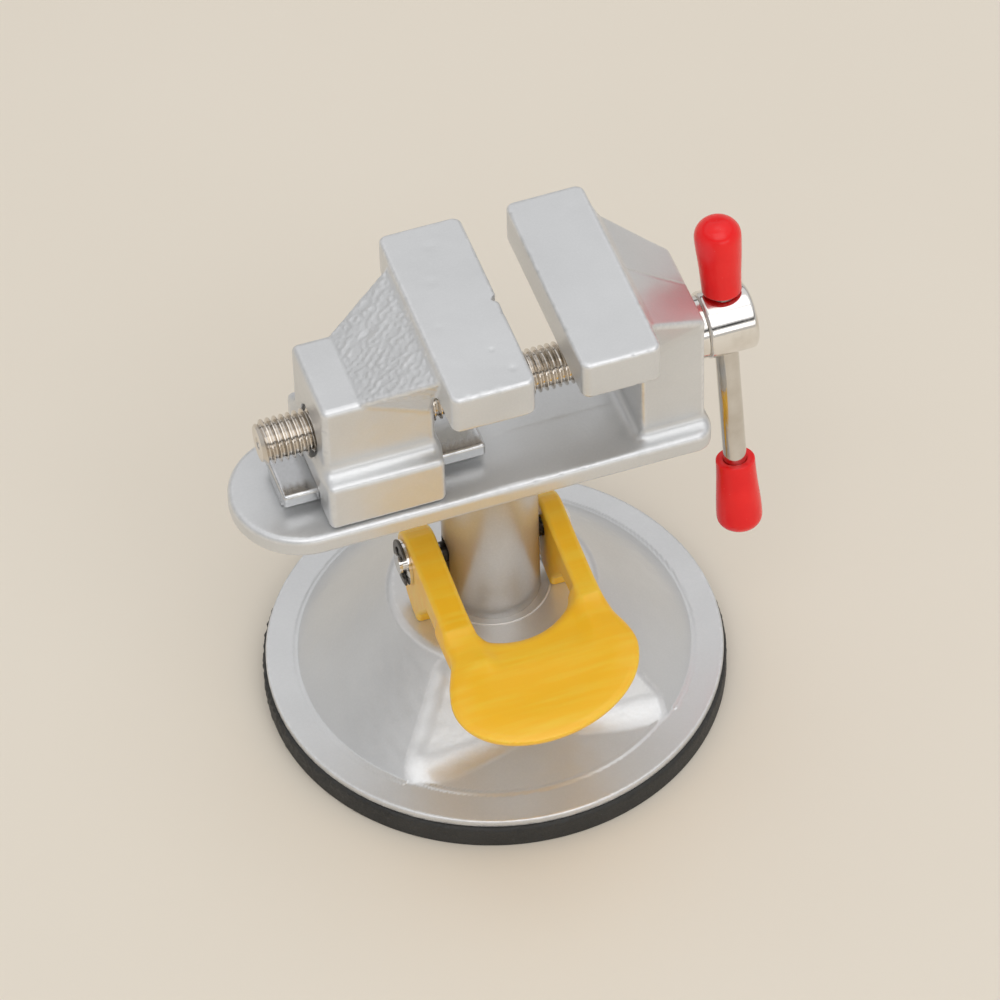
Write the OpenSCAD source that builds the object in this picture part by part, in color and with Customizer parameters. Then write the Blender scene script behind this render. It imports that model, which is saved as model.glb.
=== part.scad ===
// Small bench vise on a round suction base. The cam lever at the front pulls a
// plunger up through the column, which lifts the middle of the rubber pad.
// Origin: centre of the pad's underside. +X points along the lead screw to its
// head, -Y to the lever's paddle, +Z up. The vise is drawn locked, jaws part open.

/* [Suction base] */
// Outer radius of the rubber pad
pad_r = 52.5; // [48:0.5:66]
// Height of the pad's outer rim
pad_rim_h = 5.7; // [4.5:0.1:8]
// Thickness of the pad's flat sheet
pad_sheet_t = 3; // [2:0.1:4]
// Width of the pad rim that shows round the flange
pad_lip = 0.94; // [0.5:0.01:2]
// Thickness of the casting's flange above the pad rim
flange_t = 1.9; // [1.5:0.1:4]
// Width of the flat flange outside the cone's foot
flange_w = 7.06; // [4:0.01:10]
// Height of the hub's flat top above the table
hub_z = 29; // [27:0.5:36]
// Radius of the hub's flat top
hub_r = 23.1; // [22.6:0.1:28]
// Wall of the cast cone
cone_wall = 4; // [3:0.1:5]
// Thickness of the hub over the plunger chamber
hub_t = 8.5; // [6:0.1:10]
// Width of the shallow spot face round the column's foot
spot_w = 2; // [1:0.1:4]
// Depth of the spot face
spot_d = 0.4; // [0.2:0.1:0.8]

/* [Finger pocket] */
// Half the angle of the pocket under the paddle
pocket_half = 44.5; // [30:0.5:50]
// Distance from the hub's rim to the pocket's inner end wall
pocket_in = 0.5; // [0.3:0.1:3]
// Distance from the cone's foot in to the crease of the pocket's floor
pocket_set = 1.4; // [0:0.1:5]
// Rise of the pocket floor towards the hub
pocket_rise = 1.7; // [0:0.1:3]

/* [Plunger] */
// Radius of the plunger's stem
stem_r = 6; // [5:0.1:7.2]
// Radius of the pad's middle, drawn up by the plunger
centre_r = 20; // [17:0.1:20.2]
// Radius of the pull disc
disc_r = 18; // [15:0.1:19]
// Thickness of the pull disc
disc_t = 2; // [1.6:0.1:2.5]
// Radius of the return spring's wire
wire_r = 0.8; // [0.5:0.05:0.9]
// Turns of the return spring
spring_turns = 3.5; // [2.5:0.5:4]

/* [Column and bed] */
// Radius of the column
column_r = 10.8; // [10.3:0.1:13]
// Height of the bed's underside over the hub
column_h = 42.8; // [41:0.1:52]
// Thickness of the bed
bed_t = 5.2; // [5:0.1:8]
// Width of the bed
bed_w = 32.3; // [30:0.1:40]
// How far the bed's half-round left end reaches past the rail
bed_out = 10.1; // [8:0.1:16]
// How far the bed reaches past the fixed jaw's body
bed_over = 0.9; // [0.2:0.1:1.2]
// Corner radius of the bed's right end
bed_corner = 4; // [1:0.1:8]
// Thread radius of the bolt that holds the bed on the column
bolt_r = 3; // [2.5:0.1:3.5]

/* [Guide rail] */
// How far the rail reaches past the movable jaw's hub
rail_out = 8.5; // [6:0.1:12]
// Distance from the rail's right end to the fixed jaw's body
rail_back = 33.7; // [24:0.1:38]
// Width of the rail's flange
rail_w = 14; // [12:0.1:18]
// Height of the rail above the bed
rail_h = 5.4; // [4:0.1:7]
// Thickness of the rail's flange
rail_flange = 3.6; // [2:0.1:3.6]
// Width of the rail's neck
rail_neck = 9; // [7:0.1:9.5]
// Thread radius of the two rail screws
rail_screw_r = 1.5; // [1.2:0.1:2]

/* [Jaws] */
// Gap between the jaws as drawn
jaw_gap = 10.2; // [10.1:0.1:12]
// Jaw face of the movable head
jaw_x = 3.6; // [2:0.1:5]
// Height of both jaw heads over the bed
jaw_h = 42.5; // [40:0.1:52]
// Height of both jaw heads
head_h = 9.9; // [8:0.1:11]
// Length of the movable head along the screw
move_head_l = 18.6; // [15:0.1:20]
// Length of the fixed head along the screw
fix_head_l = 17.7; // [15:0.1:20]
// Width of both jaw heads
head_w = 51.5; // [46:0.1:60]
// Width of the movable jaw's hub
hub_w = 22.2; // [18:0.1:24]
// Length of the movable jaw's hub
hub_l = 25; // [20:0.1:26]
// Width of the skirt that rides the rail
skirt_w = 30.8; // [26:0.1:36]
// Height of the skirt's ledge over the bed
ledge_h = 13.5; // [9:0.1:17]
// Width of the fixed jaw's body
body_w = 24.1; // [20:0.1:28]
// Length of the fixed jaw's body along the screw
body_l = 14.7; // [13:0.1:15]
// Width of each head's web where it meets the head
web_w = 37; // [26:0.1:42]
// Width of the V groove in the movable jaw face
vee_w = 3.4; // [2:0.1:5]

/* [Lead screw] */
// Height of the screw's axis over the bed
screw_h = 16.8; // [15:0.1:21]
// Radius of the screw
screw_r = 5; // [4:0.1:6]
// How far the screw reaches past the movable jaw's hub
screw_out = 11.5; // [8:0.1:16]
// Step from the screw up to its head
screw_step = 2.5; // [1.2:0.1:3.5]
// Length of the screw's head
screw_head_l = 11.4; // [9:0.1:15]
// Thickness of the thrust washer under the head
thrust_t = 2.95; // [1:0.05:4]
// Width of the retaining ring on the screw
ring_w = 1.4; // [1:0.1:2.5]

/* [Tommy bar] */
// Radius of the bar
bar_r = 2.6; // [2:0.1:3.2]
// Whole length of the bar with its caps
bar_l = 83.2; // [72:0.1:100]
// Length of each cap
cap_l = 18.6; // [15:0.1:23]
// Radius of a cap at its mouth
cap_r0 = 4.35; // [4:0.05:5]
// Radius of a cap near its end
cap_r1 = 5.1; // [4.5:0.05:6]
// Lean of the bar, its top away from the paddle
bar_lean = 11; // [0:1:45]

/* [Cam lever] */
// Height of the cross pin's axis over the hub's top, locked
pin_over_hub = 14.2; // [13:0.1:16]
// Radius of the cross pin
pin_r = 2.35; // [2:0.05:2.85]
// Sideways play taken up by the lever and its pin
side_shift = -1.2; // [-1.5:0.1:1.5]
// Clearance from the column to each arm when the lever is centred
arm_clear = 2.1; // [1.8:0.1:4]
// Thickness of each arm
arm_t = 5.1; // [4:0.1:7]
// Thickness of the left arm
arm_left_t = 6.8; // [5:0.1:8]
// How much nearer the left arm stands to the column
arm_left_in = 1.4; // [0:0.1:1.6]
// Width of the paddle
paddle_w = 47.1; // [40:0.1:57]
// Width of the paddle the other way
paddle_d = 35.1; // [29:0.1:42]
// Turn of the paddle's long way from the pin
paddle_turn = 18.3; // [0:0.1:30]
// Reach of the paddle's front end from the pin
lever_l = 61.3; // [55:0.1:74]
// Distance from the pin to the middle of the rounded end of the window
window_l = 15.4; // [13:0.1:18.5]
// Radius of the window's end
window_r = 15.3; // [14:0.1:18]
// Thickness of the paddle
paddle_t = 6; // [4:0.1:6.5]
// Release travel of the plunger
lift = 5; // [3:0.1:5]
// Angle the lever turns to release
swing = 48; // [40:1:48]

/* [Fits] */
// Radial running clearance of shafts and pins
run_gap = 0.05; // [0.01:0.01:0.1]
// Radial clearance of fixed pieces in their holes
seat_gap = 0.02; // [0.01:0.01:0.05]
// Clearance of the jaw's slot round the rail
slide_gap = 0.3; // [0.2:0.05:0.5]

/* [Hidden] */
$fn = 96;
eps = 0.1;

// Base casting
flange_r = pad_r - pad_lip;
flange_z = pad_rim_h + flange_t;
cone_r0 = flange_r - flange_w;
foot_r = cone_r0 + 1.5;
spot_r = column_r + spot_w;
pocket_r0 = hub_r + pocket_in;
pocket_r1 = cone_r0 - pocket_set;
chamber_z = hub_z - hub_t;
edge = 0.4;
hub_wall = 2.8;

// Heights over the hub and the bed
bed_under = hub_z + column_h;
bed_z = bed_under + bed_t;
screw_z = bed_z + screw_h;
head_top = bed_z + jaw_h;
ledge_z = bed_z + ledge_h;

// Plunger, in the locked position
centre_gap = 0.35;
chamber_r = centre_r + 0.6;
disc_z = lift + pad_sheet_t;
pin_z = hub_z + pin_over_hub;
stem_top = pin_z + 5.2;
disc_screw_r = 2;
disc_head_r = 4.2;
disc_head_t = 1.2;

// Return spring between the pull disc and the chamber's roof
spring_r = stem_r + 2.8;
spring_z0 = disc_z + disc_t;
spring_z1 = chamber_z;
rings_per_turn = 8;
wire_sides = 6;

// Column
spigot_r = stem_r + 3;
web_z = bed_under - 11.8;
bolt_head_r = min(bolt_r + 2, stem_r - 0.5);
bolt_head_h = 5;
washer_t = 1;
bolt_top = bed_z - 1.2;
slot_gap = 0.3;
slot_over = 1.5;

// Jaws
head_z = head_top - head_h;
fix_x = jaw_x + jaw_gap;
body_x0 = fix_x + fix_head_l - eps;
body_x1 = body_x0 + body_l;
hub_x1 = jaw_x - move_head_l + 0.5;
hub_x0 = hub_x1 - hub_l;
rail_x0 = hub_x0 - rail_out;
rail_x1 = body_x0 - rail_back;
bed_x0 = rail_x0 - bed_out;
bed_x1 = body_x1 + bed_over;
skirt_z = bed_z + 0.5;
skirt_out = 0.6;
web_top = head_top - 1.3;
web_low = head_z - 7.5;
hub_top = head_z;
web_back = 8.5;
vee_d = 1.2;
mouth_r = screw_r + 0.7;
mouth_d = 1.2;
body_top = head_z - 1.9;

// Rail screws
rail_screw_x = [rail_x0 + 8, rail_x0 + 32];
rail_head_r = rail_screw_r + 1.25;
rail_head_t = 2.2;

// Lead screw
screw_x0 = hub_x0 - screw_out;
screw_head_r = screw_r + screw_step;
thrust_gap = 0.05;
ring_r = screw_r + 2.4;
screw_head_x = body_x1 + thrust_gap + thrust_t;
bar_x = screw_head_x + screw_head_l / 2;
centre_hole_r = 1.2;
centre_hole_d = 2.5;

// Tommy bar: distances are along the bar from the screw's axis, up is positive
cap_rest = screw_head_r + 0.6;
bar_top = cap_rest + cap_l;
bar_bottom = bar_top - bar_l;
cap_bottom = 4;
cap_round = 2.6;

// Lever, in its own plane: y and z from the pin
cam_gap = 0.05;
cam_h0 = pin_over_hub - cam_gap;
cam_slope = -lift / (swing * PI / 180);
arm_gap = 2 * (column_r + arm_clear);
arm_out = arm_gap / 2 + arm_t;
left_in = arm_gap / 2 - arm_left_in;
left_out = left_in + arm_left_t;
paddle_y = -lever_l;
window_y = -window_l;
boss_r = 7;
arm_low = -2.2;
neck_y = window_y - 18.6;
paddle_mid = paddle_y + norm([paddle_w / 2 * sin(paddle_turn), paddle_d / 2 * cos(paddle_turn)]);
paddle_dx = -0.85;
window_dx = -1.8;
pin_head_t = 1.8;
pin_head_r = pin_r + 1.85;
clip_t = 0.8;
clip_r = pin_r + 3.05;
pin_washer_t = 0.7;
groove_r = pin_r - 0.45;
pin_x1 = side_shift + arm_out;
pin_x0 = side_shift - left_out;
clip_x = pin_x0 - 0.05 - pin_washer_t - clip_t;

// Height of the cone's inner face at radius r
function cone_inside(r) =
    let (run = cone_r0 - hub_r, rise = hub_z - flange_z, shift = cone_wall * norm([run, rise]) / rise)
    flange_z + (cone_r0 - shift - r) * rise / run;

// Height of the cam's support in the direction that is down when the lever has turned by a
function cam_h(a) = cam_h0 - lift * a / swing;

// Point of the cam's outline that bears on the hub when the lever has turned by a
function cam_point(a) = [
    cam_h(a) * sin(a) + cam_slope * cos(a),
    cam_slope * sin(a) - cam_h(a) * cos(a)];

// Centre line of the spring's wire, turn t from 0 to spring_turns
function spring_point(t) = [
    spring_r * cos(360 * t),
    spring_r * sin(360 * t),
    spring_z0 + wire_r + 0.1 + (spring_z1 - spring_z0 - 2 * wire_r - 0.2) * t / spring_turns];

spring_pitch = (spring_z1 - spring_z0 - 2 * wire_r - 0.2) / spring_turns;
echo(spring_gap = spring_pitch - 2 * wire_r);

// A tube of wire along the spring's centre line, closed at both ends
module wire_tube() {
    count = rings_per_turn * spring_turns;
    rings = [for (i = [0:count], s = [0:wire_sides - 1])
        let (p = spring_point(i / rings_per_turn), a = 360 * i / rings_per_turn,
            w = 360 * s / wire_sides)
        [p[0] + wire_r * cos(w) * cos(a), p[1] + wire_r * cos(w) * sin(a), p[2] + wire_r * sin(w)]];
    sides = [for (i = [0:count - 1], s = [0:wire_sides - 1])
        let (n = (s + 1) % wire_sides, b = i * wire_sides, t = b + wire_sides)
        each [[b + s, t + s, b + n], [b + n, t + s, t + n]]];
    last = count * wire_sides;
    ends = [for (s = [1:wire_sides - 2]) each [[0, s, s + 1], [last, last + s + 1, last + s]]];
    polyhedron(rings, concat(sides, ends));
}

// A wedge of a ring, its section given as points of radius and height, centred on -Y
module sector(half, section) {
    rotate([0, 0, -90 - half])
        rotate_extrude(angle = 2 * half)
            polygon(section);
}

// A cylinder along X from x0 to x1, at height z
module x_rod(r, x0, x1, z) {
    translate([x0, 0, z])
        rotate([0, 90, 0])
            cylinder(r = r, h = x1 - x0);
}

// A slab from x0 to x1, centred on the XZ plane, from z0 to z1
module block(x0, x1, w, z0, z1) {
    translate([x0, -w / 2, z0])
        cube([x1 - x0, w, z1 - z0]);
}

// Places its children along the tommy bar, whose own axis is Z
module on_bar() {
    translate([bar_x, 0, screw_z])
        rotate([-bar_lean, 0, 0])
            children();
}

// Cone-shaped casting with a flange, a flat hub and the finger pocket
module base_casting() {
    color("silver")
        difference() {
            rotate_extrude()
                polygon([
                    [chamber_r, pad_sheet_t], [foot_r, pad_sheet_t], [foot_r, pad_rim_h],
                    [flange_r, pad_rim_h], [flange_r, flange_z - edge], [flange_r - edge, flange_z],
                    [cone_r0, flange_z], [hub_r, hub_z], [spot_r, hub_z],
                    [spot_r, hub_z - spot_d], [spigot_r + seat_gap, hub_z - spot_d],
                    [spigot_r + seat_gap, chamber_z], [chamber_r, chamber_z]]);
            finger_pocket();
            base_cavity();
        }
}

// Space that the pocket cuts out of the cone
module finger_pocket() {
    sector(pocket_half, [
        [pocket_r0, flange_z + pocket_rise], [pocket_r1, flange_z],
        [flange_r + 1, flange_z], [flange_r + 1, hub_z + 1], [pocket_r0, hub_z + 1]]);
}

// Hollow under the cone, left out below the pocket
module base_cavity() {
    inner = chamber_r + hub_wall;
    outer = foot_r - 5;
    rotate([0, 0, 180])
        sector(180 - pocket_half - 6, [
            [inner, pad_sheet_t - 1], [outer, pad_sheet_t - 1],
            [outer, cone_inside(outer)], [inner, cone_inside(inner)]]);
}

// Column with the bore for the stem, two slots for the cross pin and a bolt seat
module column() {
    color("gainsboro")
        difference() {
            union() {
                translate([0, 0, chamber_z])
                    cylinder(r = spigot_r, h = hub_z - spot_d - chamber_z + eps);
                translate([0, 0, hub_z - spot_d])
                    cylinder(r = column_r, h = bed_under - hub_z + spot_d);
            }
            translate([0, 0, chamber_z - eps])
                cylinder(r = stem_r + run_gap, h = web_z - chamber_z + eps);
            cylinder(r = bolt_r + seat_gap, h = bed_z);
            pin_slot();
        }
}

// Slot through both sides of the column, long enough for the release travel
module pin_slot() {
    slot_r = pin_r + slot_gap;
    slot_h = lift + slot_over;
    x_rod(slot_r, -column_r - 1, column_r + 1, pin_z - lift);
    x_rod(slot_r, -column_r - 1, column_r + 1, pin_z - lift + slot_h);
    block(-column_r - 1, column_r + 1, 2 * slot_r, pin_z - lift, pin_z - lift + slot_h);
}

// Outer ring of the rubber pad, with the raised rim that holds the casting
module suction_pad() {
    round = 0.6;
    color("dimgray")
        rotate_extrude()
            polygon([
                [centre_r + centre_gap, 0], [pad_r - round, 0], [pad_r, round],
                [pad_r, pad_rim_h - round], [pad_r - round, pad_rim_h],
                [foot_r + seat_gap, pad_rim_h], [foot_r + seat_gap, pad_sheet_t],
                [centre_r + centre_gap, pad_sheet_t]]);
}

// Spring that pushes the pull disc down on release
module return_spring() {
    color("darkgray")
        wire_tube();
}

// Middle of the rubber pad, drawn up by the plunger
module pad_centre() {
    color("dimgray")
        translate([0, 0, lift])
            cylinder(r = centre_r, h = pad_sheet_t);
}

// Steel disc that the rubber's middle is bonded to
module pull_disc() {
    color("lightsteelblue")
        difference() {
            translate([0, 0, disc_z])
                cylinder(r = disc_r, h = disc_t);
            cylinder(r = disc_screw_r + seat_gap, h = disc_z + disc_t + eps);
            cylinder(r = disc_head_r + seat_gap, h = disc_z + disc_head_t);
        }
}

// Screw that holds the disc on the stem
module disc_screw() {
    color("gray")
        translate([0, 0, disc_z]) {
            cylinder(r = disc_head_r, h = disc_head_t);
            cylinder(r = disc_screw_r, h = 11);
        }
}

// Stem with its eye for the cross pin
module plunger_stem() {
    color("lightsteelblue")
        difference() {
            translate([0, 0, disc_z + disc_t])
                cylinder(r = stem_r, h = stem_top - disc_z - disc_t);
            cylinder(r = disc_screw_r + seat_gap, h = disc_z + 11.5);
            x_rod(pin_r + seat_gap, -stem_r - 1, stem_r + 1, pin_z);
        }
}

// Pin with a domed head on the right and a clip groove on the left
module cross_pin() {
    dome_r = (pin_head_r * pin_head_r + pin_head_t * pin_head_t) / (2 * pin_head_t);
    dome_a = asin(pin_head_r / dome_r);
    steps = 8;
    shaft = pin_x1 + 0.05 - clip_x;
    color("gainsboro")
        translate([clip_x, 0, pin_z])
            rotate([0, 90, 0])
                rotate_extrude()
                    polygon(concat(
                        [[0, -0.6], [pin_r, -0.6], [pin_r, 0], [groove_r, 0],
                            [groove_r, clip_t], [pin_r, clip_t], [pin_r, shaft]],
                        [for (i = [steps:-1:0])
                            let (a = dome_a * i / steps)
                            [dome_r * sin(a), shaft + pin_head_t - dome_r * (1 - cos(a))]]));
}

// Flat washer between the left arm and the clip
module pin_washer() {
    x0 = clip_x + clip_t;
    color("gray")
        difference() {
            x_rod(clip_r - 0.2, x0, x0 + pin_washer_t, pin_z);
            x_rod(pin_r + seat_gap, x0 - 1, x0 + pin_washer_t + 1, pin_z);
        }
}

// Open clip with three tongues that sit in the pin's groove
module pin_clip() {
    rim = 1.7;
    tongue_w = 1.6;
    inner = groove_r + seat_gap;
    color("dimgray")
        translate([clip_x + seat_gap, 0, pin_z])
            rotate([0, 90, 0])
                linear_extrude(clip_t - 2 * seat_gap)
                    difference() {
                        union() {
                            difference() {
                                circle(r = clip_r);
                                circle(r = clip_r - rim);
                            }
                            for (a = [70, 180, 290])
                                rotate(a)
                                    translate([0, -tongue_w / 2])
                                        square([clip_r - rim / 2, tongue_w]);
                        }
                        circle(r = inner);
                        translate([0, -inner])
                            square([clip_r + 1, 2 * inner]);
                    }
}

// Side view of one arm with its cam lobe, drawn round the pin
module arm_profile() {
    circle(r = boss_r);
    polygon([
        [0, boss_r], [-10, 5.6], [neck_y + 2, paddle_t + arm_low],
        [neck_y + 2, arm_low], [-13, arm_low], [0, arm_low]]);
    polygon(concat(
        [[0, 0], [-13.4, arm_low], [-7, 3.4 - cam_h0]],
        [for (a = [0:4:swing]) cam_point(a)],
        [[boss_r - 0.4, arm_low]]));
}

// Plan view of the paddle, with the window that the column stands in
module paddle_plan() {
    difference() {
        union() {
            translate([paddle_dx, paddle_mid])
                rotate(paddle_turn)
                    polygon([for (a = [0:5:355])
                        [paddle_w / 2 * cos(a), paddle_d / 2 * sin(a)]]);
            translate([-left_out, neck_y - 6])
                square([left_out + arm_out, -neck_y + 6 - 18]);
        }
        intersection() {
            translate([window_dx, window_y])
                circle(r = window_r);
            translate([-left_in, window_y - window_r - 1])
                square([left_in + arm_gap / 2, window_r + 1 + eps]);
        }
        translate([-left_in, window_y])
            square([left_in + arm_gap / 2, 20]);
    }
}

// Fork-shaped lever: two arms with cam lobes joined by a rounded paddle
module lever() {
    color("gold")
        translate([side_shift, 0, pin_z])
            difference() {
                union() {
                    for (arm = [[-left_out, arm_left_t], [arm_gap / 2, arm_t]])
                        translate([arm[0], 0, 0])
                            rotate([90, 0, 90])
                                linear_extrude(arm[1])
                                    arm_profile();
                    translate([0, 0, arm_low])
                        linear_extrude(paddle_t)
                            paddle_plan();
                }
                x_rod(pin_r + run_gap, -left_out - 1, arm_out + 1, 0);
            }
}

// Outline of the bed: half round on the left, small corners on the right
module bed_plan() {
    end_r = bed_w / 2;
    translate([bed_x0 + end_r, 0])
        circle(r = end_r);
    translate([bed_x0 + end_r, -end_r])
        square([bed_x1 - bed_corner - bed_x0 - end_r, bed_w]);
    translate([bed_x0 + end_r, -end_r + bed_corner])
        square([bed_x1 - bed_x0 - end_r, bed_w - 2 * bed_corner]);
    for (s = [-1, 1])
        translate([bed_x1 - bed_corner, s * (end_r - bed_corner)])
            circle(r = bed_corner);
}

// Web that carries a head: wide at x_head, narrow and low at x_end
module web(x_head, x_end, w_end, z_end) {
    t = 0.05;
    hull() {
        block(x_head - t, x_head + t, web_w, web_low, web_top);
        block(x_end - t, x_end + t, w_end, z_end - 0.4, z_end);
        block(x_head - t, x_head + t, w_end, web_low - 4, web_low);
    }
}

// Bed and fixed jaw in one casting
module vise_bed() {
    color("silver")
        difference() {
            union() {
                translate([0, 0, bed_under])
                    linear_extrude(bed_t)
                        bed_plan();
                block(body_x0, body_x1, body_w, bed_z - 1, body_top);
                block(fix_x, fix_x + fix_head_l, head_w, head_z, head_top);
                web(body_x0 + eps, body_x1 - eps, body_w, body_top);
            }
            x_rod(screw_r + run_gap, body_x0 - 1, body_x1 + 1, screw_z);
            translate([0, 0, bed_under - eps])
                cylinder(r = bolt_r + seat_gap, h = bolt_top + 0.2 - bed_under + eps);
            for (x = rail_screw_x)
                translate([x, 0, bed_under - eps]) {
                    cylinder(r = rail_head_r + 0.2, h = rail_head_t + eps);
                    cylinder(r = rail_screw_r + seat_gap, h = bed_t + 1);
                }
        }
}

// Cap screw that draws the bed down on the column, from inside the column
module bed_bolt() {
    head_under = web_z - washer_t;
    color("gray")
        difference() {
            union() {
                translate([0, 0, head_under - bolt_head_h])
                    cylinder(r = bolt_head_r, h = bolt_head_h);
                translate([0, 0, head_under - eps])
                    cylinder(r = bolt_r, h = bolt_top - head_under + eps);
            }
            translate([0, 0, head_under - bolt_head_h - eps])
                cylinder(r = 2.9, h = 3 + eps, $fn = 6);
        }
}

// Washer under the bed bolt's head
module bed_washer() {
    color("gray")
        translate([0, 0, web_z - washer_t])
            difference() {
                cylinder(r = stem_r - 0.5, h = washer_t);
                translate([0, 0, -eps])
                    cylinder(r = bolt_r + seat_gap, h = washer_t + 2 * eps);
            }
}

// T-shaped rail that the movable jaw slides on
module guide_rail() {
    c = 0.7;
    top = bed_z + rail_h;
    low = top - rail_flange;
    w = rail_w / 2;
    n = rail_neck / 2;
    color("gainsboro")
        difference() {
            translate([rail_x0, 0, 0])
                rotate([90, 0, 90])
                    linear_extrude(rail_x1 - rail_x0)
                        polygon([
                            [-n, bed_z], [-n, low], [c - w, low], [-w, low + c], [-w, top - c],
                            [c - w, top], [w - c, top], [w, top - c], [w, low + c], [w - c, low],
                            [n, low], [n, bed_z]]);
            for (x = rail_screw_x)
                translate([x, 0, bed_z - 1])
                    cylinder(r = rail_screw_r + seat_gap, h = rail_h - 0.2);
        }
}

// Two screws that hold the rail, put in from under the bed
module rail_screws() {
    color("gray")
        for (x = rail_screw_x)
            translate([x, 0, bed_under])
                difference() {
                    union() {
                        cylinder(r = rail_head_r, h = rail_head_t);
                        cylinder(r = rail_screw_r, h = bed_t + rail_h - 1.4);
                    }
                    translate([0, 0, -eps])
                        cylinder(r = 1.45, h = 1.4 + eps, $fn = 6);
                }
}

// Movable jaw: head, web, hub with the screw's thread, and the skirt with its T slot
module movable_jaw() {
    slot_top = bed_z + rail_h + slide_gap;
    slot_low = bed_z + rail_h - rail_flange - slide_gap;
    color("silver")
        difference() {
            union() {
                block(hub_x0, hub_x1, hub_w, ledge_z - 1, hub_top);
                block(hub_x0 - skirt_out, hub_x1 + skirt_out, skirt_w, skirt_z, ledge_z);
                block(jaw_x - move_head_l, jaw_x, head_w, head_z, head_top);
                web(jaw_x - move_head_l + eps, hub_x0 + web_back, hub_w, hub_top);
            }
            block(hub_x0 - 2, hub_x1 + 2, rail_w + 2 * slide_gap, slot_low, slot_top);
            block(hub_x0 - 2, hub_x1 + 2, rail_neck + 2 * slide_gap, skirt_z - 1, slot_low + eps);
            x_rod(screw_r + run_gap, hub_x0 - 2, hub_x1 + 2, screw_z);
            x_rod(mouth_r, hub_x0 - 2, hub_x0 + mouth_d, screw_z);
            vee_groove();
        }
}

// Upright V groove in the middle of the movable jaw face
module vee_groove() {
    translate([jaw_x, 0, head_z - 1])
        linear_extrude(head_h + 2)
            polygon([[1, -vee_w], [1, vee_w], [0, vee_w / 2], [-vee_d, 0], [0, -vee_w / 2]]);
}

// Lead screw with its head and the cross hole for the tommy bar
module lead_screw() {
    c = 1.2;
    head_end = screw_head_x + screw_head_l;
    color("gainsboro")
        difference() {
            union() {
                x_rod(screw_r, screw_x0, screw_head_x + 1, screw_z);
                x_rod(screw_head_r, screw_head_x, head_end - c, screw_z);
                translate([head_end - c, 0, screw_z])
                    rotate([0, 90, 0])
                        cylinder(r1 = screw_head_r, r2 = screw_head_r - c, h = c);
            }
            x_rod(centre_hole_r, screw_x0 - 1, screw_x0 + centre_hole_d, screw_z);
            on_bar()
                cylinder(r = bar_r + run_gap, h = 4 * screw_head_r, center = true);
        }
}

// A ring on the screw from x0 to x1
module screw_ring(r, bore, x0, x1) {
    difference() {
        x_rod(r, x0, x1, screw_z);
        x_rod(bore, x0 - 1, x1 + 1, screw_z);
    }
}

// Washer between the fixed jaw's body and the screw's head
module thrust_washer() {
    color("gray")
        screw_ring(screw_head_r - 0.4, screw_r + seat_gap, body_x1 + thrust_gap, screw_head_x);
}

// Ring pinned on the screw that stops it from pulling out
module retaining_ring() {
    color("gray")
        screw_ring(ring_r, screw_r + seat_gap, body_x0 - thrust_gap - ring_w, body_x0 - thrust_gap);
}

// Sliding bar through the screw's head
module tommy_bar() {
    color("gainsboro")
        on_bar()
            translate([0, 0, bar_bottom + cap_bottom])
                cylinder(r = bar_r, h = bar_l - 2 * cap_bottom);
}

// Soft cap, its mouth at z = 0 and its rounded end at z = cap_l
module bar_cap() {
    mid = cap_l - cap_round;
    color("crimson")
        rotate_extrude()
            polygon(concat(
                [[bar_r + seat_gap, cap_l - cap_bottom], [bar_r + seat_gap, 0], [cap_r0, 0]],
                [for (a = [0:10:90])
                    [cap_r1 - cap_round * (1 - cos(a)), mid + cap_round * sin(a)]],
                [[0, cap_l], [0, cap_l - cap_bottom]]));
}

// Cap on the bar's upper end, resting on the screw's head
module upper_cap() {
    on_bar()
        translate([0, 0, cap_rest])
            bar_cap();
}

// Cap on the bar's lower end
module lower_cap() {
    on_bar()
        translate([0, 0, bar_bottom + cap_l])
            rotate([180, 0, 0])
                bar_cap();
}

base_casting();
column();
suction_pad();
return_spring();
vise_bed();
bed_bolt();
bed_washer();
guide_rail();
rail_screws();
plunger_stem();
pull_disc();
disc_screw();
pad_centre();
cross_pin();
pin_washer();
pin_clip();
lever();
movable_jaw();
lead_screw();
thrust_washer();
retaining_ring();
tommy_bar();
upper_cap();
lower_cap();
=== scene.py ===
"""Looks of a small bench vise on a round suction base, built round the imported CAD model.

Castings are written as distance fields in millimetres, so that their edges and corners
have true radii, and are then meshed. Turned pieces are lathed, the screw has its real
thread, and every material is made of nodes.
"""
import math

import bmesh
import bpy
import numpy as np
from mathutils import Matrix, Vector


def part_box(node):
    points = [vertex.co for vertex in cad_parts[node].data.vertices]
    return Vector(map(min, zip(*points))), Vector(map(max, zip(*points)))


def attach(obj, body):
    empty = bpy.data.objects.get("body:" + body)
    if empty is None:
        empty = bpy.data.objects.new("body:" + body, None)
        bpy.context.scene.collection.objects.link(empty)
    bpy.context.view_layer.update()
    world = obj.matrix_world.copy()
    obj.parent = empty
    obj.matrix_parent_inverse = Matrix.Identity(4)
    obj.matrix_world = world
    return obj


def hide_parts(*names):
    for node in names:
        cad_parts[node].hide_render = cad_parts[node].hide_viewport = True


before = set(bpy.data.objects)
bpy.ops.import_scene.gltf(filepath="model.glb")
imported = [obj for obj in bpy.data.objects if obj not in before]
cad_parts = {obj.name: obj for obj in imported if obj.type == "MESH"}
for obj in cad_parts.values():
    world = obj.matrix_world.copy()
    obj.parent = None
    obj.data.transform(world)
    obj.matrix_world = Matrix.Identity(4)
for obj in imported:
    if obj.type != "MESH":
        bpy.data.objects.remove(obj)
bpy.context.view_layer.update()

MM = 0.001  # metres in a millimetre


def node_box(node):
    """Lowest and highest corner of a CAD node at rest, in millimetres."""
    low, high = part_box(node)
    return np.array(low) / MM, np.array(high) / MM


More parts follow.
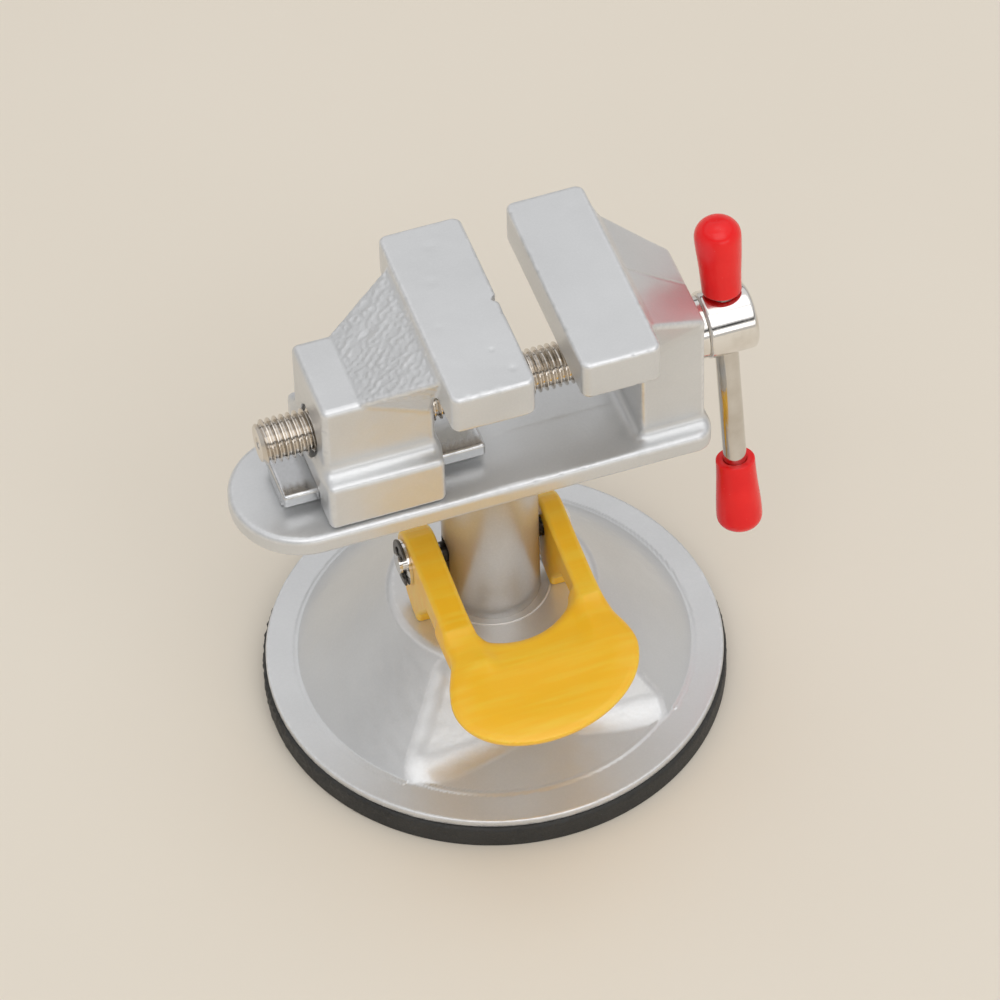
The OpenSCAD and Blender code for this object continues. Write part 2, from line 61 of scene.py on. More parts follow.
# ---------------------------------------------------------------- distance fields, in mm
def slab(v, low, high):
    """Distance to the space between two planes."""
    return np.abs(v - (low + high) / 2) - (high - low) / 2


def rounded(parts, radius):
    """Where all of parts overlap, with convex edges of that radius."""
    q = [d + radius for d in parts]
    outside = np.sqrt(sum(np.maximum(d, 0) ** 2 for d in q))
    return outside + np.minimum(np.maximum.reduce(q), 0) - radius


def brick(p, low, high, radius):
    """Box with rounded edges."""
    return rounded([slab(p[i], low[i], high[i]) for i in range(3)], radius)


def join(a, b, fillet=0.0):
    """Both shapes, with a fillet where they meet."""
    if not fillet:
        return np.minimum(a, b)
    reach = np.hypot(np.maximum(fillet - a, 0), np.maximum(fillet - b, 0))
    return np.maximum(fillet, np.minimum(a, b)) - reach


def meet(a, b, radius=0.0):
    """Where both shapes overlap, with the new edge rounded."""
    return -join(-a, -b, radius)


def carve(a, b, radius=0.0):
    """The first shape less the second, with the rim rounded."""
    return -join(-a, b, radius)


def plane_through(p, a, b, c, inside):
    """Distance from the plane through three points, negative on the side of inside."""
    a, b, c = (np.array(v, float) for v in (a, b, c))
    normal = np.cross(b - a, c - a)
    normal /= np.linalg.norm(normal)
    if normal @ (np.array(inside, float) - a) > 0:
        normal = -normal
    return sum(normal[i] * (p[i] - a[i]) for i in range(3))


def x_rod(p, radius, z):
    """Endless cylinder along X through the XZ plane."""
    return np.hypot(p[1], p[2] - z) - radius


def polygon(u, v, points):
    """Distance to a closed outline in the plane of u and v."""
    best = np.full(np.shape(u), 1e9)
    inside = np.zeros(np.shape(u), bool)
    for (au, av), (bu, bv) in zip(points, points[1:] + points[:1]):
        eu, ev = bu - au, bv - av
        wu, wv = u - au, v - av
        t = np.clip((wu * eu + wv * ev) / (eu * eu + ev * ev), 0, 1)
        best = np.minimum(best, (wu - eu * t) ** 2 + (wv - ev * t) ** 2)
        crosses = (av > v) != (bv > v)
        if ev:
            inside ^= crosses & (u < au + eu * (v - av) / ev)
    return np.where(inside, -1.0, 1.0) * np.sqrt(best)


def lumps(seed, size, waves=18):
    """Smooth unevenness of about -1 to 1 whose bumps are size millimetres wide."""
    finest, coarsest = 1.5, 0.6  # wave rates as shares of the one that size asks for
    rng = np.random.default_rng(seed)
    ways = rng.normal(size=(waves, 3))
    ways /= np.linalg.norm(ways, axis=1)[:, None]
    ways *= (math.pi / size * rng.uniform(coarsest, finest, waves))[:, None]
    starts = rng.uniform(0, 2 * math.pi, waves)

    def value(p):
        total = sum(np.sin(w[0] * p[0] + w[1] * p[1] + w[2] * p[2] + s)
                    for w, s in zip(ways, starts))
        return total / math.sqrt(waves)

    return value


def chips(places, seed, size=(0.45, 0.8), depth=(0.04, 0.15)):
    """Small dents along places, each given as a line's two ends and the number of dents on it."""
    rng = np.random.default_rng(seed)
    dents = []
    for start, end, count in places:
        for t in rng.uniform(0.04, 0.96, count):
            spot = np.array(start) + (np.array(end) - np.array(start)) * t
            dents.append((spot, rng.uniform(*size), rng.uniform(*depth)))

    def value(p):
        total = 0.0
        for (x, y, z), wide, deep in dents:
            away = (p[0] - x) ** 2 + (p[1] - y) ** 2 + (p[2] - z) ** 2
            total = total + deep * np.exp(-away / wide ** 2)
        return total

    return value


def ramp(v, low, high):
    """0 below low, 1 above high and smooth between."""
    t = np.clip((v - low) / (high - low), 0, 1)
    return t * t * (3 - 2 * t)


# ---------------------------------------------------------------- meshes
def gradient(field, points, h=0.04):
    """Direction of steepest rise of a field at each point."""
    slopes = []
    for axis in range(3):
        shift = np.zeros(3)
        shift[axis] = h
        slopes.append(field(*(points + shift).T) - field(*(points - shift).T))
    slopes = np.stack(slopes, 1)
    return slopes / np.maximum(np.linalg.norm(slopes, axis=1), 1e-9)[:, None]


def edge_wear_and_sheen(field, points, h=0.3):
    """0 on flat or hollow places and 1 where a convex edge is sharp, from the field's curvature."""
    wear_and_sheen_from, wear_and_sheen_full = 0.42, 1.0  # curvature per millimetre
    curve = -6 * field(*points.T)
    for axis in range(3):
        shift = np.zeros(3)
        shift[axis] = h
        curve += field(*(points + shift).T) + field(*(points - shift).T)
    return ramp(curve / (h * h), wear_and_sheen_from, wear_and_sheen_full)


CORNERS = [(i, j, k) for i in (0, 1) for j in (0, 1) for k in (0, 1)]


def crossings(grid, cells):
    """For each cell, the mean place in cells where the field is zero on the cell's edges."""
    total, count = np.zeros((len(cells), 3)), np.zeros(len(cells))
    for c in CORNERS:
        for axis in range(3):
            if c[axis]:
                continue
            d = list(c)
            d[axis] = 1
            a, b = grid[tuple((cells + c).T)], grid[tuple((cells + d).T)]
            cut = (a < 0) != (b < 0)
            spot = np.tile(np.array(c, float), (len(cells), 1))
            spot[:, axis] = np.where(cut, a / np.where(cut, a - b, 1), 0)
            total += spot * cut[:, None]
            count += cut
    return cells + total / count[:, None]


def faces_between(inside, number):
    """A face across each grid line that crosses the surface, from the four cells round it."""
    quads = []
    for axis in range(3):
        u, v = [i for i in range(3) if i != axis]
        here = np.moveaxis(inside, axis, 0)
        leaving, entering = here[:-1] & ~here[1:], ~here[:-1] & here[1:]
        for side, mask in enumerate((leaving, entering)):
            at_edge = np.argwhere(mask)
            edge = np.empty_like(at_edge)
            edge[:, axis], edge[:, u], edge[:, v] = at_edge[:, 0], at_edge[:, 1], at_edge[:, 2]
            ring = []
            for du, dv in ((-1, -1), (0, -1), (0, 0), (-1, 0)):
                cell = edge.copy()
                cell[:, u] += du
                cell[:, v] += dv
                ring.append(number[tuple(cell.T)])
            ring = np.stack(ring, 1)
            turn = (side == 0) != (axis == 1)
            quads.append(ring if turn else ring[:, ::-1])
    return np.concatenate(quads)


def surface(name, field, low, high, step):
    """Object whose surface is where the field is zero, with the field's own normals."""
    pad = 2 * step
    axes = [np.arange(low[i] - pad, high[i] + pad + step, step) for i in range(3)]
    grid = field(*np.meshgrid(*axes, indexing="ij"))
    inside = grid < 0
    nx, ny, nz = shape = tuple(n - 1 for n in grid.shape)
    filled = sum(inside[i:i + nx, j:j + ny, k:k + nz].astype(np.int8) for i, j, k in CORNERS)
    cells = np.argwhere((filled > 0) & (filled < len(CORNERS)))
    number = np.full(shape, -1, np.int32)
    number[tuple(cells.T)] = np.arange(len(cells))
    points = np.array([a[0] for a in axes]) + crossings(grid, cells) * step
    for _ in range(2):  # two steps bring the points onto the surface
        points -= field(*points.T)[:, None] * gradient(field, points)
    mesh = bpy.data.meshes.new(name)
    mesh.from_pydata((points * MM).tolist(), [], faces_between(inside, number).tolist())
    mesh.validate()
    mesh.polygons.foreach_set("use_smooth", [True] * len(mesh.polygons))
    # Convex-edge mask: rubbed paint on every piece, and a painted edge highlight on the castings.
    wear_and_sheen = edge_wear_and_sheen(field, points)
    mesh.attributes.new("wear_and_sheen", "FLOAT", "POINT").data.foreach_set("value", wear_and_sheen)
    mesh.normals_split_custom_set_from_vertices(gradient(field, points).tolist())
    return new_object(name, mesh)


def new_object(name, data):
    """Object in the scene that holds a mesh, a lamp or a camera."""
    obj = bpy.data.objects.new(name, data)
    bpy.context.scene.collection.objects.link(obj)
    return obj


def lathe(name, profile, turns=128, wobble=None, crease=35):
    """Object turned round Z from (radius, height) points, which wobble(angle, r, z) may move."""
    verts, faces = [], []
    for i in range(turns):
        a = 2 * math.pi * i / turns
        for r, z in profile:
            if wobble:
                r, z = wobble(a, r, z)
            verts.append((r * math.cos(a) * MM, r * math.sin(a) * MM, z * MM))
    n = len(profile)
    for i in range(turns):
        for j in range(n - 1):
            a, b = i * n + j, (i + 1) % turns * n + j
            faces.append((a, b, b + 1, a + 1))
    mesh = bpy.data.meshes.new(name)
    mesh.from_pydata(verts, [], faces)
    clean(mesh, crease)
    return new_object(name, mesh)


def clean(mesh, crease):
    """Joins points that coincide, turns faces outwards and smooths edges up to crease degrees."""
    same_place = 1e-7  # metres
    bm = bmesh.new()
    bm.from_mesh(mesh)
    bmesh.ops.remove_doubles(bm, verts=bm.verts, dist=same_place)
    bmesh.ops.recalc_face_normals(bm, faces=bm.faces)
    bm.to_mesh(mesh)
    bm.free()
    mesh.shade_smooth()
    mesh.set_sharp_from_angle(angle=math.radians(crease))


def arc(cx, cy, radius, start, end, steps=8):
    """Points of an arc, angles in degrees."""
    angles = [math.radians(start + (end - start) * i / steps) for i in range(steps + 1)]
    return [(cx + radius * math.cos(a), cy + radius * math.sin(a)) for a in angles]


# ---------------------------------------------------------------- materials
def new_material(name):
    """A material with its node tree's shader and a function that adds linked nodes."""
    mat = bpy.data.materials.new(name)
    mat.use_nodes = True
    tree = mat.node_tree
    shader = tree.nodes["Principled BSDF"]

    def add(kind, inputs=None, **settings):
        node = tree.nodes.new(kind)
        for key, value in settings.items():
            setattr(node, key, value)
        for key, value in (inputs or {}).items():
            if isinstance(value, bpy.types.NodeSocket):
                tree.links.new(value, node.inputs[key])
            else:
                node.inputs[key].default_value = value
        return node

    def link(value, socket):
        tree.links.new(value, shader.inputs[socket])

    return mat, shader, add, link


def set_plain(shader, values):
    """Sets the shader's inputs that are the same all over the surface."""
    for socket, value in values.items():
        shader.inputs[socket].default_value = value


def tinted(tone, red, green, blue):
    """A colour with its channels scaled."""
    return (tone[0] * red, tone[1] * green, tone[2] * blue, 1)


def noise(add, place, scale, detail=3.0, rough=0.5, distort=0.0):
    """Noise texture whose scale is in cycles per metre."""
    inputs = {"Vector": place, "Scale": scale, "Detail": detail, "Roughness": rough,
              "Distortion": distort}
    return add("ShaderNodeTexNoise", inputs).outputs["Fac"]


def spread(add, value, low, high, out_low=0.0, out_high=1.0):
    """Maps a range of values to another, clamped."""
    inputs = {"Value": value, "From Min": low, "From Max": high,
              "To Min": out_low, "To Max": out_high}
    return add("ShaderNodeMapRange", inputs).outputs["Result"]


def blend_colour(add, factor, a, b):
    """Mixes two colours: a where factor is 0, b where it is 1."""
    factor_in, a_in, b_in, colour_out = 0, 6, 7, 2  # the node's sockets for colours
    node = add("ShaderNodeMix", {factor_in: factor, a_in: a, b_in: b}, data_type="RGBA")
    return node.outputs[colour_out]


def maths(add, kind, a, b=0.0):
    """Result of one maths node."""
    return add("ShaderNodeMath", {0: a, 1: b}, operation=kind).outputs[0]


def bumps(add, layers):
    """Stacks bump layers of (height, distance in metres, strength) and gives the normal."""
    normal = None
    for height, distance, strength in layers:
        inputs = {"Height": height, "Distance": distance, "Strength": strength}
        if normal:
            inputs["Normal"] = normal
        normal = add("ShaderNodeBump", inputs).outputs["Normal"]
    return normal


def cast_paint(name, tone=(0.70, 0.708, 0.712, 1), grain=1.0, gloss=0.33, metal=0.6):
    """Silver paint over a fine cast skin, brighter along convex edges: partly rubbed paint, partly a
    painted edge highlight.
    """
    mat, shader, add, link = new_material(name)
    place = add("ShaderNodeTexCoord").outputs["Object"]
    clouds = noise(add, place, 45, 3, 0.5)
    skin = noise(add, place, 1300, 1, 0.5)
    flakes = noise(add, place, 1900, 1, 0.5)
    waves = noise(add, place, 330, 2, 0.5)
    scuff = noise(add, place, 520, 4, 0.65)
    edge = add("ShaderNodeAttribute", attribute_name="wear_and_sheen").outputs["Fac"]
    # Convex edges lightened: partly rubbed paint, partly a painted highlight along the edge.
    rubbed_and_lit_edge = maths(add, "MULTIPLY", edge, spread(add, scuff, 0.36, 0.58, 0.15, 1.0))
    dark, bright = tinted(tone, 0.93, 0.93, 0.93), (0.88, 0.88, 0.89, 1)
    colour = blend_colour(add, spread(add, clouds, 0.35, 0.68), dark, tone)
    colour = blend_colour(add, spread(add, flakes, 0.4, 0.7, 0, 0.08), colour, bright)
    colour = blend_colour(add, maths(add, "MULTIPLY", rubbed_and_lit_edge, 0.5), colour, bright)
    link(colour, "Base Color")
    link(spread(add, skin, 0.3, 0.7, gloss - 0.03, gloss + 0.05), "Roughness")
    set_plain(shader, {"Metallic": metal, "Specular IOR Level": 0.5,
                       "Coat Weight": 0.2, "Coat Roughness": 0.2})
    link(bumps(add, [(waves, 0.0003, 0.07 * grain), (skin, 0.00012, 0.07 * grain)]), "Normal")
    return mat


def plated_steel(name, tone=(0.83, 0.81, 0.78, 1), axis="X", gloss=0.09):
    """Nickel-plated steel with faint turning marks round its axis."""
    fine, long = 9000, 120  # marks per metre along the axis and round it
    mat, shader, add, link = new_material(name)
    place = add("ShaderNodeTexCoord").outputs["Object"]
    squeeze = tuple(fine if way == axis else long for way in "XYZ")
    marks = add("ShaderNodeMapping", {"Vector": place, "Scale": squeeze}).outputs["Vector"]
    lines = noise(add, marks, 1, 2, 0.6)
    clouds = noise(add, place, 180, 4, 0.6)
    specks = noise(add, place, 2600, 2, 0.5)
    dull = tinted(tone, 0.88, 0.86, 0.83)
    link(blend_colour(add, spread(add, clouds, 0.4, 0.7), tone, dull), "Base Color")
    rough = spread(add, clouds, 0.35, 0.75, gloss - 0.03, gloss + 0.06)
    link(maths(add, "ADD", rough, spread(add, specks, 0.62, 0.75, 0, 0.12)), "Roughness")
    set_plain(shader, {"Metallic": 1})
    link(bumps(add, [(lines, 0.00004, 0.08), (clouds, 0.0003, 0.03)]), "Normal")
    return mat


def lever_enamel(name):
    """Thick orange-yellow enamel with flow streaks across the paddle."""
    orange, yellow = (1.0, 0.535, 0.012, 1), (1.0, 0.62, 0.04, 1)
    deep, rubbed = (1.0, 0.51, 0.008, 1), (1.0, 0.67, 0.08, 1)
    streak_turn, streak_scale = (0, 0, math.radians(-18)), (38, 380, 260)
    mat, shader, add, link = new_material(name)
    place = add("ShaderNodeTexCoord").outputs["Object"]
    turned = add("ShaderNodeMapping", {"Vector": place, "Rotation": streak_turn,
                                       "Scale": streak_scale}).outputs["Vector"]
    streaks = noise(add, turned, 1, 3, 0.55)
    clouds = noise(add, place, 60, 3, 0.5)
    peel = noise(add, place, 900, 2, 0.5)
    edge = add("ShaderNodeAttribute", attribute_name="wear_and_sheen").outputs["Fac"]
    colour = blend_colour(add, spread(add, streaks, 0.42, 0.68), orange, yellow)
    colour = blend_colour(add, spread(add, clouds, 0.35, 0.7, 0, 0.35), colour, deep)
    colour = blend_colour(add, maths(add, "MULTIPLY", edge, 0.35), colour, rubbed)
    link(colour, "Base Color")
    link(spread(add, clouds, 0.3, 0.7, 0.29, 0.38), "Roughness")
    set_plain(shader, {"Subsurface Weight": 0.12, "Subsurface Radius": (0.003, 0.0011, 0.0001),
                       "Coat Weight": 0.2, "Coat Roughness": 0.18})
    link(bumps(add, [(streaks, 0.0006, 0.1), (peel, 0.0002, 0.05)]), "Normal")
    return mat


def dipped_vinyl(name):
    """Soft red vinyl with a faint skin and a few specks of dust."""
    red, light, dusty = (0.86, 0.004, 0.006, 1), (0.93, 0.010, 0.010, 1), (0.9, 0.35, 0.33, 1)
    mat, shader, add, link = new_material(name)
    place = add("ShaderNodeTexCoord").outputs["Object"]
    clouds = noise(add, place, 130, 3, 0.5)
    skin = noise(add, place, 1800, 2, 0.5)
    dust = add("ShaderNodeTexVoronoi", {"Vector": place, "Scale": 420}).outputs["Distance"]
    speck = spread(add, dust, 0.03, 0.055, 1, 0)
    colour = blend_colour(add, spread(add, clouds, 0.35, 0.65), red, light)
    colour = blend_colour(add, maths(add, "MULTIPLY", speck, 0.2), colour, dusty)
    link(colour, "Base Color")
    link(spread(add, clouds, 0.3, 0.7, 0.2, 0.26), "Roughness")
    set_plain(shader, {"Subsurface Weight": 0.06, "Subsurface Radius": (0.004, 0.0006, 0.0005),
                       "Specular IOR Level": 0.4, "Coat Weight": 0.12, "Coat Roughness": 0.08})
    link(bumps(add, [(skin, 0.0001, 0.06), (clouds, 0.0005, 0.08)]), "Normal")
    return mat


def black_rubber(name):
    """Matt black rubber with a dusty bloom and a rough moulded skin."""
    black, faded, bloom = (0.022, 0.022, 0.021, 1), (0.034, 0.033, 0.031, 1), (0.12, 0.115, 0.11, 1)
    mat, _, add, link = new_material(name)
    place = add("ShaderNodeTexCoord").outputs["Object"]
    clouds = noise(add, place, 90, 4, 0.6)
    grit = noise(add, place, 2400, 3, 0.6)
    scuff = noise(add, place, 700, 4, 0.7)
    colour = blend_colour(add, spread(add, clouds, 0.35, 0.7), black, faded)
    colour = blend_colour(add, spread(add, scuff, 0.6, 0.8, 0, 0.35), colour, bloom)
    link(colour, "Base Color")
    link(spread(add, grit, 0.3, 0.7, 0.5, 0.72), "Roughness")
    link(bumps(add, [(scuff, 0.0003, 0.25), (grit, 0.0001, 0.3)]), "Normal")
    return mat


def dark_steel(name, tone=(0.10, 0.095, 0.09, 1), gloss=0.3):
    """Oiled spring steel or dull zinc with a mottled skin."""
    mat, shader, add, link = new_material(name)
    place = add("ShaderNodeTexCoord").outputs["Object"]
    mottle = noise(add, place, 900, 4, 0.6)
    light = tinted(tone, 1.7, 1.65, 1.6)
    link(blend_colour(add, spread(add, mottle, 0.4, 0.7), tone, light), "Base Color")
    link(spread(add, mottle, 0.3, 0.7, gloss, gloss + 0.15), "Roughness")
    set_plain(shader, {"Metallic": 0.9})
    link(bumps(add, [(mottle, 0.0001, 0.15)]), "Normal")
    return mat


def pin_with_painted_shade(name, half=12.0):
    """Plated pin whose middle is darkened with painted shade, for half millimetres each way."""
    plate, dull, painted_shade = (0.84, 0.82, 0.79, 1), (0.72, 0.69, 0.65, 1), (0.035, 0.03, 0.025, 1)
    fade = (half + 0.6) * MM, (half + 1.4) * MM
    mat, shader, add, link = new_material(name)
    place = add("ShaderNodeTexCoord").outputs["Object"]
    along = add("ShaderNodeSeparateXYZ", {"Vector": place}).outputs["X"]
    pin_mottle = noise(add, place, 420, 4, 0.6)
    edge = maths(add, "ADD", maths(add, "ABSOLUTE", along), maths(add, "MULTIPLY", pin_mottle, 0.002))
    # Painted shade: the middle of the pin is coloured near black and made rougher.
    shaded_middle = spread(add, edge, *fade, 1, 0)
    colour = blend_colour(add, spread(add, pin_mottle, 0.35, 0.7), plate, dull)
    link(blend_colour(add, shaded_middle, colour, painted_shade), "Base Color")
    rough = spread(add, pin_mottle, 0.3, 0.7, 0.07, 0.16)
    link(maths(add, "ADD", rough, maths(add, "MULTIPLY", shaded_middle, 0.3)), "Roughness")
    set_plain(shader, {"Metallic": 0.95})
    link(bumps(add, [(pin_mottle, 0.0002, 0.08)]), "Normal")
    return mat


SILVER = cast_paint("cast_silver_paint")
BASE_PAINT = cast_paint("base_silver_paint", grain=1.25)
COLUMN_PAINT = cast_paint("column_silver_paint", (0.60, 0.59, 0.575, 1), 0.35, 0.34, 0.7)
RAIL_PAINT = cast_paint("rail_silver_paint", (0.55, 0.555, 0.56, 1), 0.2, 0.15, 0.9)
THREAD_PLATE = plated_steel("thread_nickel_plate", (0.70, 0.655, 0.60, 1), gloss=0.13)
SCREW_PLATE = plated_steel("screw_nickel_plate")
BAR_PLATE = plated_steel("bar_nickel_plate", (0.68, 0.65, 0.61, 1), "Z")
ENAMEL = lever_enamel("lever_enamel")
VINYL = dipped_vinyl("red_vinyl")
RUBBER = black_rubber("black_rubber")
CLIP_STEEL = dark_steel("clip_spring_steel")
ZINC = dark_steel("dull_zinc", (0.42, 0.42, 0.43, 1), 0.36)
PIN_STEEL = pin_with_painted_shade("pin_steel")


# ---------------------------------------------------------------- pieces and nodes
def finish_piece(obj, body, material, slot, *nodes):
    """Gives a new piece its material and its body and hides the CAD nodes it stands for; slot is not
    used.
    """
    obj.data.materials.clear()
    obj.data.materials.append(material)
    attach(obj, body)
    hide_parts(*nodes)
    return obj


SHARP_EDGE = 40  # degrees past which an edge is softened


def finish_node(name, material, bevel):
    """Gives a CAD node a better material and, where bevel isn't 0, softer edges."""
    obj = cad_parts[name]
    for s in obj.material_slots:
        s.material = material
    if bevel:
        mod = obj.modifiers.new("soft_edges", "BEVEL")
        mod.width = bevel * MM
        mod.segments = 3
        mod.limit_method = "ANGLE"
        mod.angle_limit = math.radians(SHARP_EDGE)
        mod.harden_normals = True
        mod.use_clamp_overlap = True


# ---------------------------------------------------------------- sizes, and what both jaws share
# Lower-case sizes are worked out from the frame, and upper-case ones are chosen to fit inside it.
bed_low, bed_high = node_box("vise_bed")
jaw_low, jaw_high = node_box("movable_jaw")
screw_low, screw_high = node_box("lead_screw")
rail_low, rail_high = node_box("guide_rail")
base_low, base_high = node_box("base_casting")
lever_low, lever_high = node_box("lever")
clip_low, clip_high = node_box("pin_clip")
bed_under = node_box("column")[1][2]
pad_r, _, rim_h = node_box("suction_pad")[1]
bed_z = rail_low[2]
screw_z = (screw_low[2] + screw_high[2]) / 2
head_top = bed_high[2]
SCREW_R, HEAD_TALL, PIN_RISE = 5.0, 9.9, 14.2
WEB_HALF, WEB_DROP, WEB_LOW = 18.5, 1.3, 7.5
HEAD_HALF, HEAD_CORNER, HEAD_EDGE = 25.75, 2.0, 0.85
head_z = head_top - HEAD_TALL
pin_z = base_high[2] + PIN_RISE
rim_y, rim_z = -HEAD_HALF + 0.45, head_top - 0.4  # where dents lie on a jaw head's rim


def cast_skin(p, uneven, coarse):
    """How far a casting's skin stands off its true shape."""
    return 0.022 * uneven(p) + 0.008 * coarse(p)


def jaw_web(p, x_head, x_end, half_end, z_end):
    """Sloping web behind a jaw head: wide and high at the head, narrow and low at its end."""
    middle = ((x_head + x_end) / 2, 0, z_end - 3)
    top, low = head_top - WEB_DROP, head_z - WEB_LOW
    slope = plane_through(p, (x_head, 0, top), (x_head, 1, top), (x_end, 0, z_end), middle)
    web = meet(slope, slab(p[0], min(x_head, x_end), max(x_head, x_end)), 0.8)
    for s in (-1, 1):
        side = plane_through(p, (x_head, s * WEB_HALF, top), (x_end, s * half_end, z_end),
                             (x_head, s * half_end, low), middle)
        web = meet(web, side, 1.2)
    return meet(web, slab(p[2], low - 6, top + 5), 0.3)


def jaw_head(p, x0, x1):
    """Jaw head whose upright corners are rounder than its rims."""
    plan = rounded([slab(p[0], x0, x1), slab(p[1], -HEAD_HALF, HEAD_HALF)], HEAD_CORNER)
    return rounded([plan, slab(p[2], head_z, head_top)], HEAD_EDGE)


# ---------------------------------------------------------------- bed and fixed jaw
def bed_plan(x, y):
    """Outline of the bed: a half-round left end and rounded corners on the right."""
    half, corner_r = 16.15, 4.0
    left_x, far_left, far_right = bed_low[0] + half, -60, bed_high[0] + 30
    left = np.hypot(x - left_x, y) - half
    straight = rounded([slab(x, left_x, far_right), slab(y, -half, half)], 0.01)
    right = rounded([slab(x, far_left, bed_high[0]), slab(y, -half, half)], corner_r)
    return np.maximum(np.minimum(left, straight), right)


def ground_step(x, y, z):
    """Shallow step between the jaws, where the front half of the bed's top is ground lower."""
    deep, x_from, x_to = 0.06, -4, 31
    near_top = ramp(z, bed_z - 2, bed_z - 1) * ramp(-z, -bed_z - 3, -bed_z - 1)
    along = ramp(x, x_from, x_from + 4) * ramp(-x, -x_to, -x_to + 4)
    return deep * ramp(-y, -0.25, 0.8) * along * near_top


def parting_line(x, y, z):
    """Fine ridge down the middle of the fixed jaw's web."""
    high, middle, wide, x_from, z_from = 0.12, 0.2, 0.28, 31, 106
    ridge = high * np.exp(-((y - middle) / wide) ** 2)
    return ridge * ramp(z, z_from, z_from + 2) * ramp(x, x_from, x_from + 2)


def bed_field():
    body_x1, body_long, body_half, body_top = 46.1, 14.7, 12.05, head_z - 1.9
    body_x0 = body_x1 - body_long
    head_x0, head_x1 = body_x0 - 17.6, body_x0 + 0.1
    bed_edge, body_edge, web_fillet, head_fillet, foot_fillet = 1.35, 1.1, 0.8, 1.6, 2.6
    uneven, coarse = lumps(3, 9), lumps(4, 2.2)
    dents = chips([((head_x0 + 0.4, rim_y, rim_z), (head_x1 - 0.4, rim_y, rim_z), 3),
                   ((head_x0 + 0.3, rim_y, rim_z), (head_x0 + 0.3, -rim_y, rim_z), 5),
                   ((head_x1 - 0.3, rim_y, rim_z), (head_x1 - 0.3, rim_y + 14, rim_z), 2),
                   ((head_x0 + 1, rim_y, head_z + 0.3), (head_x1, rim_y, head_z + 0.3), 2),
                   ((bed_low[0] + 12, -16, bed_z - 0.4), (bed_high[0] - 5, -16, bed_z - 0.4), 5)], 31)

    def field(*p):
        bed = rounded([bed_plan(p[0], p[1]), slab(p[2], bed_under, bed_z)], bed_edge)
        body = brick(p, (body_x0, -body_half, bed_z - 4), (body_x1, body_half, body_top), body_edge)
        upper = join(body, jaw_web(p, body_x0, body_x1, body_half, body_top), web_fillet)
        upper = join(upper, jaw_head(p, head_x0, head_x1), head_fillet)
        whole = join(bed, upper, foot_fillet)
        whole = carve(whole, x_rod(p, SCREW_R + 0.1, screw_z), 0.4)
        whole = whole + ground_step(*p) - parting_line(*p) + dents(p)
        return whole - cast_skin(p, uneven, coarse)

    return field


vise_bed = surface("bed_and_fixed_jaw", bed_field(), bed_low, bed_high, 0.55)
finish_piece(vise_bed, "base", SILVER, "casting_paint", "vise_bed")


